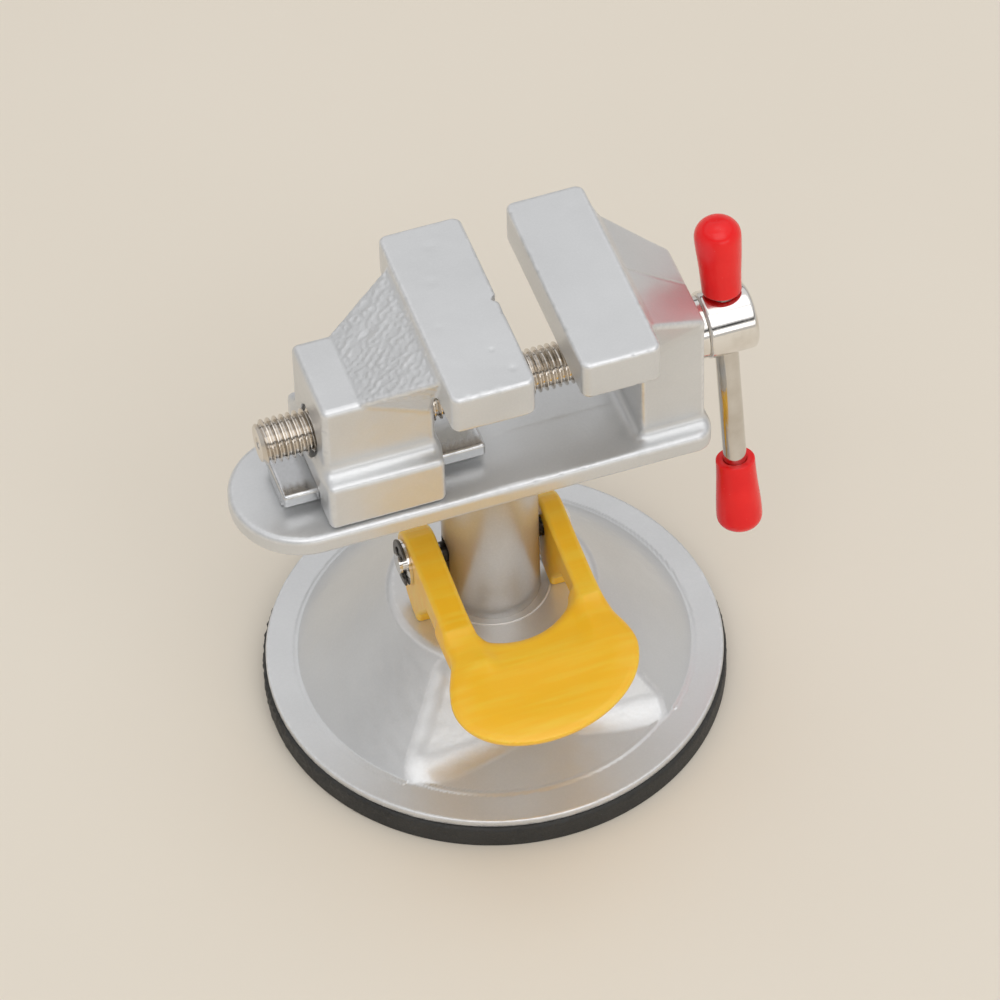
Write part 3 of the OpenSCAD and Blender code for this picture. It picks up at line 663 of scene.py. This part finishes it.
# ---------------------------------------------------------------- movable jaw
def jaw_field():
    face = jaw_high[0]
    head_x0 = face - 18.6
    hub_x1 = head_x0 + 0.5
    hub_x0 = hub_x1 - 25
    hub_half, hub_edge, skirt_half, ledge = 11.1, 1.5, 15.4, bed_z + 13.5
    hub_front, web_x = -hub_half + 0.4, hub_x0 + 8.5
    slot_half, slot_top, slot_low, neck_half = 7.3, rail_high[2] + 0.3, rail_high[2] - 3.9, 4.8
    groove_deep, slant = 1.3, 0.707
    uneven, coarse, blisters = lumps(5, 8), lumps(6, 2), lumps(7, 0.95, 40)
    pits = [(face - 6, -14, 0.6, 0.12), (face - 12, 9, 1.2, 0.07), (face - 14.5, -4, 0.9, 0.06),
            (face - 9, 19, 1.5, 0.08), (face - 3.5, -20.5, 0.9, 0.14), (head_x0 - 9, 5, 1.3, 0.25)]
    dents = chips([((head_x0 + 0.4, rim_y, rim_z), (face - 0.4, rim_y, rim_z), 4),
                   ((face - 0.3, rim_y, rim_z), (face - 0.3, -rim_y, rim_z), 4),
                   ((head_x0 + 0.3, rim_y, rim_z), (head_x0 + 0.3, -rim_y, rim_z), 3),
                   ((hub_x1 - 1.5, -hub_half, head_z - 2), (hub_x1, -hub_half, head_z - 5), 4),
                   ((hub_x0 + 0.4, hub_front, head_z - 1), (hub_x0 + 0.4, hub_front, ledge), 3),
                   ((hub_x0, 2, screw_z + SCREW_R + 1), (hub_x0, 4, screw_z + SCREW_R), 2)], 32)

    def solid(p):
        """Head, web, hub and skirt, before anything is cut."""
        hub = brick(p, (hub_x0, -hub_half, ledge - 6), (hub_x1, hub_half, head_z), hub_edge)
        skirt_low, skirt_high = (jaw_low[0], -skirt_half, jaw_low[2]), (hub_x1 + 0.6, skirt_half, ledge)
        skirt = brick(p, skirt_low, skirt_high, hub_edge)
        web = jaw_web(p, head_x0, web_x, hub_half, head_z)
        return join(join(join(hub, skirt, 3.2), web, 0.5), jaw_head(p, head_x0, face), 1.3)

    def field(*p):
        x, y, z = p
        groove = (np.abs(y) - (x - face + groove_deep)) * slant
        whole = carve(solid(p), groove, 0.25)
        wide = rounded([slab(y, -slot_half, slot_half), slab(z, slot_low, slot_top)], 0.3)
        neck = rounded([slab(y, -neck_half, neck_half), slab(z, jaw_low[2] - 5, slot_top)], 0.3)
        whole = carve(whole, np.minimum(wide, neck), 0.3)
        whole = carve(whole, x_rod(p, SCREW_R + 0.1, screw_z), 0.3)
        mouth = np.maximum(x_rod(p, SCREW_R + 0.75, screw_z), slab(x, hub_x0 - 3, hub_x0 + 1.2))
        whole = carve(whole, mouth, 0.35)
        for px, py, size, depth in pits:
            pit = depth * np.exp(-(((x - px) ** 2 + (y - py) ** 2) / size ** 2))
            whole = whole + pit * ramp(z, head_z, head_z + 2)
        on_web = (ramp(z, head_z - 0.5, head_z + 0.8) * ramp(-x, -head_x0 - 0.2, -head_x0 + 0.6)
                  * ramp(x, web_x - 1, web_x))
        whole = whole + dents(p) - cast_skin(p, uneven, coarse)
        return whole - on_web * 0.05 * np.maximum(blisters(p), -0.5)

    return field


movable_jaw = surface("movable_jaw_casting", jaw_field(), jaw_low, jaw_high, 0.5)
finish_piece(movable_jaw, "jaw", SILVER, "casting_paint", "movable_jaw")


# ---------------------------------------------------------------- base casting
def base_field():
    flange_r, flange_z = base_high[0], 7.6
    cone_r, hub_r, hub_z = flange_r - 7.06, 23.1, base_high[2]
    flange_low, foot_r = base_low[2] + 2.7, flange_r - 5.56
    spot_r, spot_deep, spigot_r, chamber_r, chamber_z = 12.8, 0.4, 9.0, 20.6, 20.5
    run, rise = cone_r - hub_r, hub_z - flange_z
    length = math.hypot(run, rise)
    half, draft = math.radians(44.5), math.radians(48)
    pocket_in, pocket_out, pocket_rise = hub_r + 0.6, cone_r - 1.4, 1.7
    bead_drop, bead_round = 0.62, 0.85
    uneven, coarse = lumps(8, 10), lumps(9, 2.4)

    def finger_pocket(r, z, across):
        """Recess under the paddle: a nearly flat floor between drafted walls."""
        floor = z - (flange_z + pocket_rise * (pocket_out - r) / (pocket_out - pocket_in))
        below_cone = flange_z + (cone_r - r) * rise / run - z
        side = (below_cone * math.tan(draft) - across) * math.cos(draft)
        return meet(meet(-floor, side, 4.0), pocket_in - r, 3.0)

    def field(*p):
        x, y, z = p
        r = np.hypot(x, y)
        turn = np.abs(np.arctan2(x, -y))
        across = r * np.sin(np.clip(half - turn, -1.5, 1.5))
        flange = rounded([r - flange_r, slab(z, flange_low, flange_z)], 0.45)
        foot = np.maximum(r - foot_r, slab(z, base_low[2], flange_z - 0.5))
        slope = ((r - cone_r) * rise + (z - flange_z) * run) / length
        cone = meet(slope, slab(z, base_low[2] + 1, hub_z), 0.9)
        pocket, crisp = finger_pocket(r, z, across), ramp(x, -6, 6)  # a crisper rim on the right
        cone = carve(cone, pocket, 1.5) * (1 - crisp) + carve(cone, pocket, 0.6) * crisp
        bead_r = pocket_out + 0.4 + (cone_r - pocket_out - 0.2) * ramp(-across, -0.6, 0.6)
        bead = np.hypot(r - bead_r, z - flange_z + bead_drop) - bead_round
        body = join(join(join(flange, foot), cone, 0.3), bead, 0.25)
        body = carve(body, np.maximum(r - spot_r, (hub_z - spot_deep) - z), 0.12)
        body = np.maximum(body, spigot_r - r)
        body = np.maximum(body, -np.maximum(r - chamber_r, z - chamber_z))
        on_cone = ramp(r, 24, 27) * ramp(-r, -cone_r, -40)
        return body - 0.02 * uneven(p) - (0.006 + 0.02 * on_cone) * coarse(p)

    return field


base_casting = surface("base_cone_casting", base_field(), base_low, base_high, 0.55)
finish_piece(base_casting, "base", BASE_PAINT, "casting_paint", "base_casting")
SEAT_R, SEAT_ROUND = 12.85, 0.32
seat_ring = arc(SEAT_R, base_high[2], SEAT_ROUND, 0, 360, 14)
seat_bead = lathe("column_seat_bead", seat_ring, 160, crease=80)
finish_piece(seat_bead, "base", BASE_PAINT, "casting_paint", "base_casting")


# ---------------------------------------------------------------- cam lever
def cam_outline(rest_h, lift, swing):
    """Outline of a lobe whose height over the hub falls evenly by lift in swing degrees."""
    slope = -lift / math.radians(swing)
    points = []
    for a in range(0, swing + 1, 6):
        h, s = rest_h - lift * a / swing, math.radians(a)
        points.append((h * math.sin(s) + slope * math.cos(s), slope * math.sin(s) - h * math.cos(s)))
    return points


def lever_field():
    middle, inner, outer, left_in, left_out = -1.2, 12.9, 18.0, 11.5, 18.3
    low, thick, window_y, neck_y = -2.2, 6.0, -15.4, -34.0
    window_x, window_r = -1.8, 15.3
    paddle_long, paddle_wide, paddle_turn = 23.55, 17.55, math.radians(18.3)
    paddle_x, paddle_y, paddle_edge, neck_fillet = -0.85, -43.1, 2.9, 2.6
    eye_r, hole_r, cam_h = 7.0, 2.4, 14.15
    side_view = [(eye_r * math.cos(t), eye_r * math.sin(t)) for t in np.radians(range(-10, 91, 10))]
    side_view += [(-10, 5.7), (-26, 4.3), (-32, 0.5), (-32, low), (-13.4, low), (-7, 3.4 - cam_h)]
    side_view += cam_outline(cam_h, 5.0, 48)

    def paddle_plan(x, y, z):
        """Outline of the paddle and its neck, the oval tapering in below its top edge."""
        px, py = x - paddle_x, y - paddle_y
        u = (px * math.cos(paddle_turn) + py * math.sin(paddle_turn)) / paddle_long
        v = (py * math.cos(paddle_turn) - px * math.sin(paddle_turn)) / paddle_wide
        reach = np.maximum(np.hypot(u, v), 1e-6)
        oval = (reach - 1) * reach / np.hypot(u / paddle_long, v / paddle_wide)
        oval = oval + np.maximum(low + thick - 1.6 - z, 0)
        tab = rounded([slab(x, -left_out, outer), slab(y, neck_y - 6, -22)], 0.5)
        return join(oval, tab, 5.0)

    def paddle_top(x, y, gap, plan):
        """How far the top lies below a flat one: a valley, a dish, a crown and a knuckle."""
        valley = ramp(-gap, -0.8, 3.2) * ramp(y, -41, -31)
        crown = 0.7 * ramp(plan, -8, 0.5)
        dish = 0.9 * valley + 0.8 * np.exp(-((y + 46) / 9) ** 2 - (x / 13) ** 2)
        knuckle = 0.5 * np.exp(-((x + 12.0) ** 2 + (y + 36) ** 2) / 8)
        return dish + crown - knuckle

    def field(x, y, z):
        x, z = x - middle, z - pin_z
        profile = polygon(y, z, side_view)
        arms = np.minimum(rounded([profile, slab(x, inner, outer)], 1.0),
                          rounded([profile, slab(x, -left_out, -left_in)], 1.0))
        gap = slab(x, -left_in, inner)
        plan = paddle_plan(x, y, z)
        top = z - (low + thick - 0.3 - paddle_top(x, y, gap, plan))
        window = np.maximum(np.hypot(x - window_x, y - window_y) - window_r, gap)
        window = np.minimum(window, np.maximum(gap, window_y - y))
        plan = carve(plan, window, 0.3)
        paddle = rounded([plan, np.maximum(top, low - z)], paddle_edge)
        whole = join(arms, paddle, neck_fillet)
        return carve(whole, np.hypot(y, z) - hole_r, 0.3)

    return field


lever = surface("cam_lever_enamelled", lever_field(), lever_low, lever_high, 0.5)
finish_piece(lever, "cam_lever", ENAMEL, "lever_paint", "lever")


# ---------------------------------------------------------------- clip on the pin's left end
def clip_field():
    x0, x1 = clip_low[0] + 0.1, clip_high[0] - 0.1
    outer_r, inner_r, tongue_half = 5.35, 3.75, 0.85

    def field(*p):
        y, z = p[1], p[2] - pin_z
        r, turn = np.hypot(y, z), np.arctan2(z, -y)
        ring = np.maximum(r - outer_r, inner_r - r)
        ring = np.maximum(ring, 4.4 * np.cos(turn) - 2.6)  # the open side
        tongue = 9.0  # far off, until a tongue is nearer
        for a in (95, 180, -95):
            c, s = math.cos(math.radians(a)), math.sin(math.radians(a))
            along, off = -y * c + z * s, -y * s - z * c
            one = np.maximum(slab(along, 2.0, 4.5), slab(off, -tongue_half, tongue_half))
            tongue = np.minimum(tongue, one)
        return rounded([join(ring, tongue, 0.5), slab(p[0], x0, x1)], 0.18)

    return field


pin_clip = surface("open_clip", clip_field(), clip_low, clip_high, 0.18)
finish_piece(pin_clip, "plunger", CLIP_STEEL, "clip_steel", "pin_clip")


# ---------------------------------------------------------------- guide rail
def rail_field():
    top, half, neck, flange = rail_high[2], 7.0, 4.5, 3.6

    def field(*p):
        plate = brick(p, (rail_low[0], -half, top - flange), (rail_high[0], half, top), 0.8)
        stem = brick(p, (rail_low[0], -neck, rail_low[2]), (rail_high[0], neck, top - 1), 0.2)
        return join(plate, stem, 0.5)

    return field


guide_rail = surface("t_rail", rail_field(), rail_low, rail_high, 0.4)
finish_piece(guide_rail, "base", RAIL_PAINT, "casting_paint", "guide_rail")


# ---------------------------------------------------------------- lead screw
def thread(name, x0, x1, x_end, pitch=1.5, depth=0.92, turns=72):
    """Threaded rod along X from x0 to x1, then plain to x_end, with a centre hole at x0."""
    # One turn's outline, as shares of the pitch and of the depth
    shape = [(0.0, 1.0), (0.125, 1.0), (0.42, 0.08), (0.56, 0.0), (0.70, 0.08)]
    per_pitch = len(shape)
    rows = int((x1 - x0) / pitch + 2) * per_pitch
    root = SCREW_R - depth - 0.1
    verts, faces = [], []

    def point(x, r, j):
        a = 2 * math.pi * j / turns
        return (x * MM, r * math.cos(a) * MM, (screw_z + r * math.sin(a)) * MM)

    def rings(profile):
        """Adds a turned stretch through (x, radius) points."""
        start = len(verts)
        for x, r in profile:
            verts.extend(point(x, r, j) for j in range(turns))
        for i in range(len(profile) - 1):
            for j in range(turns):
                a, b = start + i * turns + j, start + i * turns + (j + 1) % turns
                faces.append((a, b, b + turns, a + turns))

    for i in range(-per_pitch, rows):
        share, height = shape[i % per_pitch]
        for j in range(turns):
            x = x0 + (i // per_pitch + share + j / turns) * pitch
            x = min(max(x, x0), x1)
            r = SCREW_R - depth * (1 - height)
            r = min(r, root + (x - x0), root + (x1 - x) * 1.2)
            verts.append(point(x, r, j))
    count = rows + per_pitch
    for i in range(count - 1):
        for j in range(turns):
            climb = per_pitch if j == turns - 1 else 0
            a, b = i * turns + j, (i + climb) * turns + (j + 1) % turns
            if b + turns < count * turns:
                faces.append((a, b, b + turns, a + turns))
    rings([(x0, root), (x0, root - 0.4), (x0, 1.5), (x0 + 0.3, 1.2), (x0 + 2.2, 0.9), (x0 + 2.6, 0.0)])
    rings([(x1, root), (x_end, root), (x_end, 0)])
    mesh = bpy.data.meshes.new(name)
    mesh.from_pydata(verts, [], faces)
    clean(mesh, 38)
    return new_object(name, mesh)


BAR_LEAN, THREAD_END = math.radians(11), 36.0
CROSS_HOLE_R, DIMPLE_R, DIMPLE_DEEP = 2.65, 1.6, 1.2
DRUM_LENGTH = 11.4
drum_x = screw_high[0] - DRUM_LENGTH
bar_x = screw_high[0] - DRUM_LENGTH / 2
bar_way = np.array([0, math.sin(BAR_LEAN), math.cos(BAR_LEAN)])


def along_bar(p):
    """Distance along the tommy bar's axis from the screw's axis, and distance from that axis."""
    y, z = p[1], p[2] - screw_z
    t = y * bar_way[1] + z * bar_way[2]
    away = y * bar_way[2] - z * bar_way[1]
    return t, np.hypot(p[0] - bar_x, away)


def head_field():
    x1, radius = screw_high[0], screw_high[1]

    def field(*p):
        drum = rounded([x_rod(p, radius, screw_z), slab(p[0], drum_x, x1)], 1.1)
        dimple = np.maximum(x_rod(p, DIMPLE_R, screw_z) * 0.7, x1 - DIMPLE_DEEP - p[0])
        return carve(carve(drum, dimple, 0.3), along_bar(p)[1] - CROSS_HOLE_R, 0.5)

    return field


screw_head = surface("screw_head", head_field(), (drum_x, screw_low[1], screw_low[2]), screw_high, 0.3)
finish_piece(screw_head, "screw", SCREW_PLATE, "plated_steel", "lead_screw")
screw_thread = thread("screw_thread", screw_low[0], THREAD_END, drum_x + 1)
finish_piece(screw_thread, "screw", THREAD_PLATE, "plated_steel", "lead_screw")


# ---------------------------------------------------------------- tommy bar and its caps
CAP_LENGTH, CAP_REST, BAR_LENGTH = 18.6, 8.1, 83.2


def on_bar(obj, height, flip):
    """Moves a piece made along Z onto the bar's line."""
    turn = Matrix.Rotation(math.pi, 4, "X") if flip else Matrix.Identity(4)
    place = Matrix.Translation((bar_x * MM, 0, screw_z * MM)) @ Matrix.Rotation(-BAR_LEAN, 4, "X")
    obj.data.transform(place @ Matrix.Translation((0, 0, height * MM)) @ turn)
    return obj


def bar_cap(name, height, flip, seed):
    """Dipped cap: a rolled mouth, a slight swelling and a domed end."""
    length, mouth, wide, roll, hole = CAP_LENGTH, 4.35, 5.1, 0.3, 2.65
    dome = 3.2 if flip else 4.3
    lump = lumps(seed, 5)

    def sag(a, r, z):
        grow = 0.05 * float(lump((r * math.cos(a), r * math.sin(a), z)))
        return (r + grow * min(1, r / 3), z)

    profile = [(hole, 1.5), (hole, 0.15), (2.9, 0.0), (mouth - 0.35, 0.0)]
    profile += arc(mouth - roll, roll, roll, -90, 0, 4)
    profile += [(mouth + (wide - mouth) * ramp(t, 0, 1), t * (length - dome))
                for t in (0.15, 0.3, 0.45, 0.6, 0.75, 0.9)]
    profile += arc(wide - dome, length - dome, dome, 0, 84, 11)
    profile += [(max(wide - dome, 0.6) * s, length - 0.02 * s) for s in (0.8, 0.4)]
    cap = lathe(name, profile + [(0, length)], 96, sag, 60)
    node = "lower_cap" if flip else "upper_cap"
    return finish_piece(on_bar(cap, height, flip), "bar", VINYL, "cap_plastic", node)


bar_cap("upper_bar_cap", CAP_REST, False, 11)
bar_cap("lower_bar_cap", CAP_REST + 2 * CAP_LENGTH - BAR_LENGTH, True, 12)


# ---------------------------------------------------------------- rubber pad
RAG_FINE, RAG_WIDE, RAG_SIDE = lumps(21, 0.9, 30), lumps(22, 3.2, 20), math.radians(200)
PAD_HOLE, PAD_FLOOR, PAD_BORE = 20.35, 3.0, 46.1


def rough_rim(a, r, z):
    """Ragged mould flash on the pad's outer wall, worst on the left."""
    on_wall = r >= 40 and z >= 0.2
    if not on_wall:
        return r, z
    p = (r * math.cos(a), r * math.sin(a), z)
    worst = 0.25 + 0.75 * max(0.0, math.cos(a - RAG_SIDE)) ** 2
    rag = float(RAG_FINE(p)) * 0.22 + float(RAG_WIDE(p)) * 0.14
    high = max(0.0, (z - 3.0) / 2.7)
    return min(r, r - 0.3 + rag * worst * (0.35 + high)), z + 0.1 * rag * worst * high


pad_profile = [(PAD_HOLE, PAD_FLOOR), (PAD_HOLE, 0.3), (PAD_HOLE + 0.3, 0.0)]
pad_profile += [(pad_r - 1.0, 0.0), (pad_r - 0.35, 0.15)]
pad_profile += [(pad_r, h) for h in np.linspace(0.5, rim_h - 0.9, 7)]
pad_profile += [(pad_r - 0.1, rim_h - 0.55), (pad_r - 0.35, rim_h - 0.25)]
pad_profile += [(pad_r - 0.75, rim_h - 0.05), (pad_r - 1.3, rim_h)]
pad_profile += [(PAD_BORE, rim_h), (PAD_BORE, PAD_FLOOR), (PAD_HOLE, PAD_FLOOR)]
suction_pad = lathe("rubber_pad", pad_profile, 720, rough_rim, 60)
finish_piece(suction_pad, "base", RUBBER, "pad_rubber", "suction_pad")


# ---------------------------------------------------------------- CAD nodes that keep their shape
for node, material, bevel in (("column", COLUMN_PAINT, 0.2),
                              ("return_spring", ZINC, 0),
                              ("bed_bolt", ZINC, 0.3),
                              ("bed_washer", ZINC, 0.15),
                              ("rail_screws", ZINC, 0.15),
                              ("plunger_stem", BAR_PLATE, 0.3),
                              ("pull_disc", BAR_PLATE, 0.3),
                              ("disc_screw", ZINC, 0.2),
                              ("pad_centre", RUBBER, 0.4),
                              ("cross_pin", PIN_STEEL, 0.2),
                              ("pin_washer", SCREW_PLATE, 0.15),
                              ("thrust_washer", SCREW_PLATE, 0.15),
                              ("retaining_ring", SCREW_PLATE, 0.2),
                              ("tommy_bar", BAR_PLATE, 0.3)):
    finish_node(node, material, bevel)


# ---------------------------------------------------------------- floor, light and camera
def stage_floor():
    """Plain pale floor, a hair below the pad's underside."""
    half, drop = 3.0, -5e-5
    mat, shader, add, link = new_material("pale_floor")
    place = add("ShaderNodeTexCoord").outputs["Object"]
    faint = noise(add, place, 9, 2, 0.5)
    link(blend_colour(add, faint, (0.80, 0.725, 0.61, 1), (0.83, 0.76, 0.65, 1)), "Base Color")
    set_plain(shader, {"Roughness": 0.55})
    mesh = bpy.data.meshes.new("floor")
    corners = [(-half, -half, drop), (half, -half, drop), (half, half, drop), (-half, half, drop)]
    mesh.from_pydata(corners, [], [(0, 1, 2, 3)])
    mesh.materials.append(mat)
    new_object("floor", mesh)


def area_light(name, place, target, size, power):
    """White rectangular lamp that faces target."""
    data = bpy.data.lights.new(name, "AREA")
    data.shape = "RECTANGLE"
    data.size, data.size_y = size
    data.energy = power
    obj = new_object(name, data)
    obj.location = place
    obj.rotation_euler = (Vector(target) - Vector(place)).to_track_quat("-Z", "Y").to_euler()


def sky():
    """Studio dome, brighter overhead, with a narrow dark ring that metal mirrors."""
    ring = (0.08, 0.08, 0.08, 1)
    world = bpy.data.worlds.new("studio")
    bpy.context.scene.world = world
    world.use_nodes = True
    tree = world.node_tree
    back = tree.nodes["Background"]
    coord = tree.nodes.new("ShaderNodeTexCoord")
    parts = tree.nodes.new("ShaderNodeSeparateXYZ")
    tree.links.new(coord.outputs["Generated"], parts.inputs["Vector"])
    height = tree.nodes.new("ShaderNodeValToRGB")
    stops = height.color_ramp.elements
    stops[0].position, stops[0].color = 0.0, (0.66, 0.64, 0.61, 1)
    stops[1].position, stops[1].color = 0.60, (0.92, 0.92, 0.93, 1)
    for place, colour in ((0.36, (0.76, 0.75, 0.74, 1)), (0.40, ring), (0.47, ring),
                          (0.51, (0.88, 0.88, 0.89, 1))):
        stops.new(place).color = colour
    tree.links.new(parts.outputs["Z"], height.inputs["Fac"])
    tree.links.new(height.outputs["Color"], back.inputs["Color"])
    back.inputs["Strength"].default_value = 0.86


def photo_camera():
    """Camera at the photograph's viewing angle, rolled a little about its axis."""
    place = Vector((-263.37, -859.34, 1070.11)) * MM
    target = Vector((-3.868, -20.739, 79.577)) * MM
    roll, lens, sensor = math.radians(-2.098), 222.58, 36
    back = (place - target).normalized()
    right = (-back).cross(Vector((0, 0, 1))).normalized()
    up = right.cross(-back)
    across = right * math.cos(roll) + up * math.sin(roll)
    upward = up * math.cos(roll) - right * math.sin(roll)
    data = bpy.data.cameras.new("photo_camera")
    data.sensor_width = sensor
    data.lens = lens
    cam = new_object("photo_camera", data)
    cam.matrix_world = Matrix((across, upward, back)).transposed().to_4x4()
    cam.location = place
    bpy.context.scene.camera = cam


stage_floor()
sky()
area_light("key", (-0.1, -1.15, 1.75), (0, 0, 0.05), (2.0, 1.4), 9.0)
area_light("top", (0.3, 0.15, 1.7), (0, 0, 0.08), (1.2, 0.8), 2.0)
area_light("front", (0.35, -1.8, 0.5), (0, 0, 0.05), (1.6, 0.4), 2.5)
photo_camera()
bpy.context.scene.view_settings.view_transform = "Standard"
